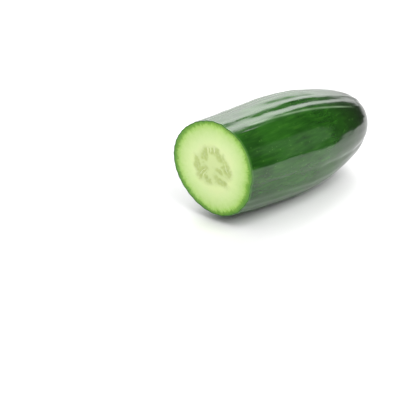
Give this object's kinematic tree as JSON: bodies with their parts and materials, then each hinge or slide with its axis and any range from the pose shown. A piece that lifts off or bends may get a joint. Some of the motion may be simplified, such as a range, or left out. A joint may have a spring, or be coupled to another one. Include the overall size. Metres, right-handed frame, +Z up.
{
  "type": "cut cucumber",
  "caption": "Stem-end part of a greenhouse cucumber lying on its side, with one flat knife cut that shows pale flesh and seed chambers.",
  "frame": {"origin": "bottom centre of the piece's bounding box, on the surface that it lies on", "axes": "+X along the fruit from the cut face to the stem end, +Z up, +Y completes the right-handed frame"},
  "size_m": [0.1062, 0.0496, 0.0501],
  "materials": {
    "waxed_skin": "thin waxy bloom over dark green skin, glossy on the ribs",
    "wet_flesh": "wet, slightly translucent pale green flesh",
    "stem_scar": "dry corky tissue"
  },
  "bodies": {
    "root": {"cucumber": "waxed_skin"}
  },
  "joints": []
}
